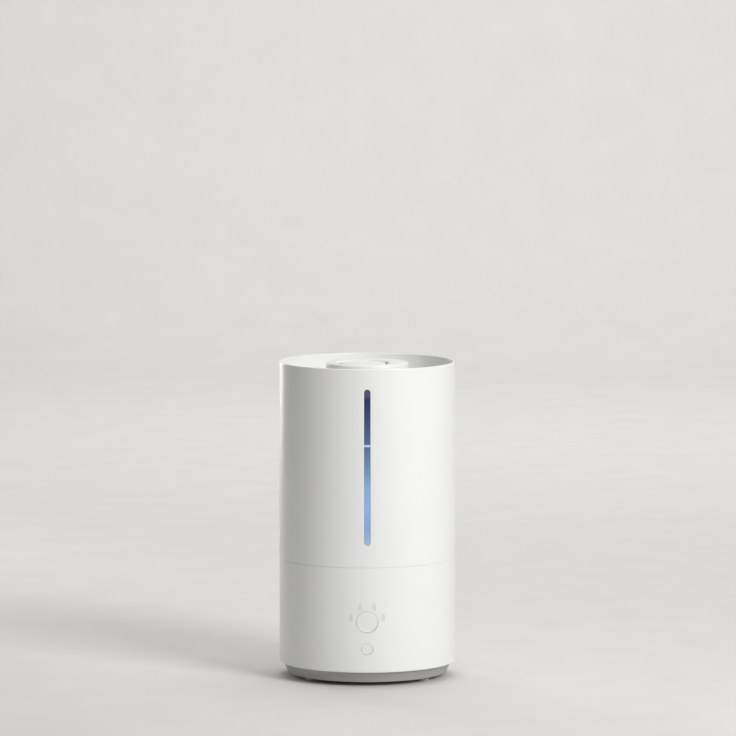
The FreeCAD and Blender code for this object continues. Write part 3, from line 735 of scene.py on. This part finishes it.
def make_nozzle():
    top = drum_high.z
    low = drum_low.z
    plate = top - WALL
    drum = lathe("nozzle_drum", [
        (DRUM_R - 2.4, low, 0.4), (DRUM_R, low, 0.6), (DRUM_R, top, 2.2), (0, top, 0),
        (0, plate, 0), (DRUM_R - 2.4, plate, 1.0),
    ])
    well = lathe("well", [
        (0, top + 1, 0), (WELL_R + 1.3, top + 1, 0), (WELL_R + 1.3, top, 0),
        (WELL_R, top - 1.3, 0.9), (WELL_R, plate - 2, 0), (0, plate - 2, 0),
    ], CAP_X, CAP_Y)
    cut(drum, [well])
    smooth(drum)
    place(drum, "nozzle", "white_lid", white_lid, "nozzle_platform")

    well_low, well_high = node_box("outlet_ring")
    turned_piece("outlet_wall", "nozzle", "white_lid", ["outlet_ring"],
                 tube_points(WELL_R, WELL_R + 2.0, well_low.z, well_high.z, 0.4), CAP_X, CAP_Y)
    turned_piece("outlet_hub", "nozzle", "white_lid", [],
                 tube_points(5.05, 8.0, well_low.z, well_low.z + 6.0), CAP_X, CAP_Y, 64)
    for i in range(3):
        spoke_piece("outlet_spoke_%d" % i, WELL_R + 0.2, 1.5, well_low.z, well_low.z + 3.0,
                    90 + 120 * i, CAP_X, CAP_Y, "nozzle", "white_lid", start=7.8)
    stem_r, stem_top, cup_low, rim_low = 5.0, 347.4, 348.2, 351.6
    turned_piece("nozzle_cap_top", "nozzle", "white_lid", ["nozzle_cap"], [
        (0, cap_low.z, 0), (stem_r, cap_low.z, 0.5), (stem_r, stem_top, 1.5), (9.0, cup_low, 2.0),
        (CAP_R, rim_low, 0.9), (CAP_R, cap_high.z - 0.2, 0.9), (14.0, cap_high.z, 4.0),
        (0, cap_high.z, 0),
    ], CAP_X, CAP_Y)


make_lid()
make_nozzle()


# ---- base ------------------------------------------------------------------------------------

LIGHT_ANGLES = (15.0, 65.0, 115.0, 165.0)
LIGHT_RING_R = 18.5
LIGHT_W = 2.3
LIGHT_H = 8.0


def light_places():
    for angle in LIGHT_ANGLES:
        a = math.radians(angle)
        yield LIGHT_RING_R * math.cos(a), MODE_Z + LIGHT_RING_R * math.sin(a)


def make_base_shell():
    shelf, shelf_r = 129.5, 93.5
    gland_w = 12.2
    vent_w, vent_h, vent_pitch, vent_z = 1.6, 12.0, 4.0, 103.0
    shell = lathe("base_wall", [
        (INNER_R, SHELL_LOW, 0.5), (BODY_R, SHELL_LOW, 1.8), (BODY_R, SEAM_LOW, 0.3),
        (BODY_R - 0.4, SEAM_LOW, 0.1), (BODY_R - 0.4, SEAM_HIGH - 0.12, 0.08),
        (INNER_R, SEAM_HIGH - 0.12, 0.4), (INNER_R, shelf, 0), (shelf_r, shelf, 0.3),
        (shelf_r, shelf - 2.5, 0.3), (INNER_R, shelf - 5.5, 0),
    ])
    tools = [
        wall_hole(2 * MODE_HOLE_R, 2 * MODE_HOLE_R, 0, MODE_Z, 0.45, 32),
        wall_hole(2 * POWER_HOLE_R, 2 * POWER_HOLE_R, 0, POWER_Z, 0.45, 24),
        wall_hole(gland_w, gland_w, 0, GLAND_Z, 0.45, 24, back=True),
    ]
    for x, z in light_places():
        tools.append(wall_hole(LIGHT_W, LIGHT_H, x, z, 0.2, 8))
    for i in range(-2, 3):
        tools.append(wall_hole(vent_w, vent_h, vent_pitch * i, vent_z, 0.3, 8, back=True))
    cut(shell, tools)
    smooth(shell, radii=(BODY_R, INNER_R))
    place(shell, "base", "white_shell", white_shell, "base_shell")


def make_button(name, hole_r, z, lip, hollow, body, node):
    """Push button with a thin skirt behind its gap, and a face hollowed most at its lower lip."""
    lift = 0.12
    face, inset = 0.12, 0.6      # the face's depth below the wall, and its edge inside the hole
    layers = [(6.5, -0.22), (0.55, -0.22), (0.46, -0.26), (0.4, -0.33), (0.28, -0.36),
              (0.17, -0.44), (face, -inset)]
    reach = hole_r - inset
    rings = 24
    for k in range(1, rings + 1):
        layers.append((face, -inset - (reach - 0.05) * k / rings))
    key = wall_plug(name, 2 * hole_r, 2 * hole_r, 0, z + lift, layers, 32)
    for vertex in key.data.vertices:
        x = vertex.co.x / MM
        up = vertex.co.z / MM - z - lift
        r = math.hypot(x, up)
        if r < reach and vertex.co.y / MM < -BODY_R + 2.5:
            t = min(1.0, (reach - r) / lip)
            low = 0.5 - 0.5 * up / reach
            vertex.co.y += hollow * low ** 2.2 * t * t * (3 - 2 * t) * MM
    smooth(key, 50.0)
    place(key, body, "white_shell", white_shell, node)


def make_controls():
    make_button("mode_key_face", MODE_HOLE_R, MODE_Z, 3.0, 0.9, "mode_key", "mode_button")
    make_button("power_key_face", POWER_HOLE_R, POWER_Z, 2.2, 0.6, "power_key", "power_button")
    for number, (x, z) in enumerate(light_places(), start=1):
        layers = [(12.0, -0.1), (0.5, -0.1), (0.25, -0.2), (0.18, -0.5), (0.16, -1.1)]
        pill = wall_plug("light_pill_%d" % number, LIGHT_W, LIGHT_H, x, z, layers, 8)
        smooth(pill, 50.0)
        place(pill, "base", "light_guide", light_guide, "light_guides")


def make_basin():
    """Water basin with its flange, and what stands in it."""
    flange_low = 129.5
    flange_top = 132.0
    basin_r = 81.5
    disc_r = 12.0
    low = basin_low.z
    floor = low + WALL
    bowl = lathe("basin_bowl", [
        (disc_r, low, 0.4), (basin_r + WALL, low, 2.0), (basin_r + WALL, flange_low, 0.8),
        (basin_high.x, flange_low, 0.3), (basin_high.x, flange_top, 0.4),
        (basin_r, flange_top, 1.6), (basin_r, floor, 5.0), (disc_r, floor, 0.8),
    ])
    stack_x = (stack_low.x + stack_high.x) / 2
    light_y = (light_low.y + light_high.y) / 2
    stack_hole_r, light_hole_r = 12.1, 9.0
    cut(bowl, [upright_hole(stack_hole_r, stack_x, 0, low - 1, floor + 1),
               upright_hole(light_hole_r, 0, light_y, low - 1, floor + 1)])
    smooth(bowl)
    place(bowl, "base", "deck_plastic", deck_plastic, "base_deck")
    tube_piece("air_pipe", "base", "deck_plastic", "air_stack", 0.8, 9.8)
    well_low, well_high = node_box("light_well")
    turned_piece("light_pot", "base", "deck_plastic", ["light_well"], [
        (9.0, well_low.z, 0.2), (11.0, well_low.z, 0.2), (11.0, well_high.z, 0.7),
        (9.0, well_high.z, 0.4), (9.0, 127.0, 0), (7.6, 127.0, 0.2), (7.6, 125.0, 0.2),
        (9.0, 125.0, 0),
    ], 0, light_y, 96)
    lens_low_end, lens_top = node_box("light_lens")
    turned_piece("light_dome", "base", "clear_plastic", ["light_lens"], [
        (0, lens_low_end.z, 0), (8.8, lens_low_end.z, 0.2), (8.8, 129.8, 0.6),
        (6.0, lens_top.z - 0.4, 3.0), (0, lens_top.z, 0),
    ], 0, light_y, 64)
    tube_piece("basin_seal_ring", "base", "silicone", "tank_gasket", 1.2, 90.8, ROUND_STEPS)

    float_low, float_high = node_box("float_body")
    float_y = (float_low.y + float_high.y) / 2
    turned_piece("float_ring", "float", "float_plastic", ["float_body"], [
        (9.0, float_low.z, 0.3), (13.0, float_low.z, 1.2), (13.0, float_high.z, 1.6),
        (9.5, float_high.z, 0.5), (8.6, float_high.z - 0.7, 0.4), (7.0, float_high.z - 0.7, 0.4),
        (6.4, float_high.z, 0.4), (4.6, float_high.z, 0.5), (4.6, float_low.z, 0.4),
        (6.0, float_low.z, 0.3), (6.0, float_low.z + 3.5, 0.2), (9.0, float_low.z + 3.5, 0.2),
    ], 0, float_y, 96)
    post_high = node_box("basin_posts")[1]
    turned_piece("float_post", "base", "deck_plastic", ["basin_posts"], [
        (0, floor, 0), (4.0, floor, 0), (4.0, post_high.z - 1.0, 0.4),
        (3.2, post_high.z, 0.6), (0, post_high.z, 0),
    ], 0, float_y, 64)
    pusher_top = 119.2
    turned_piece("pusher_pin", "base", "deck_plastic", [], [
        (0, floor, 0), (3.0, floor, 0), (3.0, pusher_top, 0.9), (0, pusher_top, 0),
    ], valve_x, 0, 48)
    for i in range(4):
        spoke_piece("pusher_rib_%d" % i, 6.0, 0.8, floor, 112.0, 90 * i, valve_x, 0,
                    "base", "deck_plastic", start=2.6)


def make_tray():
    floor = tray_low.z
    lip = tray_high.z
    low_r, top_r = 90.0, 95.0                    # the skirt at its floor and at the shell
    step, step_in, step_out = 10.4, 91.7, 92.3   # the step's height and its two radii
    lip_r = INNER_R - 0.3
    skirt = lathe("tray_skirt", [
        (0, floor, 0), (low_r, floor, 1.2), (step_in, step, 0.25), (step_out, step, 0.25),
        (top_r, SHELL_LOW + 1.0, 0.4), (lip_r, SHELL_LOW + 1.0, 0.3),
        (lip_r, lip, 0.3), (top_r - WALL, lip, 0.3), (low_r - WALL, floor + WALL, 1.0),
        (0, floor + WALL, 0),
    ])
    fan_x, fan_y, intake_r = -20.0, 8.0, 20.0
    slot_r, pitch = 1.5, 5.6
    tools = []
    for i in range(-3, 4):
        chord = math.sqrt(intake_r ** 2 - (pitch * i) ** 2)
        slot = lathe("slot", [(0, floor - 1, 0), (slot_r, floor - 1, 0), (slot_r, floor + 4, 0),
                              (0, floor + 4, 0)], steps=32)
        for vertex in slot.data.vertices:
            vertex.co.x += math.copysign((chord - slot_r) * MM, vertex.co.x)
        slot.data.transform(Matrix.Translation((fan_x * MM, (fan_y + pitch * i) * MM, 0)))
        tools.append(slot)
    screw_at, screw_r, bevel, seat = 49.5, 3.6, 0.5, 7.09
    for x in (-screw_at, screw_at):
        for y in (-screw_at, screw_at):
            tools.append(lathe("hole", [
                (0, floor - 1, 0), (screw_r + bevel, floor - 1, 0), (screw_r + bevel, floor, 0),
                (screw_r, floor + bevel, 0), (screw_r, seat, 0), (0, seat, 0),
            ], x, y, 48))
    cut(skirt, tools)
    smooth(skirt)
    place(skirt, "base", "tray_grey", tray_grey, "bottom_tray")

    low, high = node_box("feet")
    foot_r = 7.0
    for x in (low.x + foot_r, high.x - foot_r):
        for y in (low.y + foot_r, high.y - foot_r):
            side = "left" if x < 0 else "right"
            end = "front" if y < 0 else "back"
            turned_piece("pad_%s_%s" % (end, side), "base", "foot_rubber", ["feet"], [
                (0, 0.6, 0), (3.6, 0.6, 0.3), (4.6, low.z, 0.4), (foot_r, low.z, 1.2),
                (foot_r - 0.3, floor, 0.4), (3.0, floor, 0), (3.0, high.z, 0.6),
                (0, high.z, 0),
            ], x, y, 64)


make_base_shell()
make_controls()
make_basin()
make_tray()
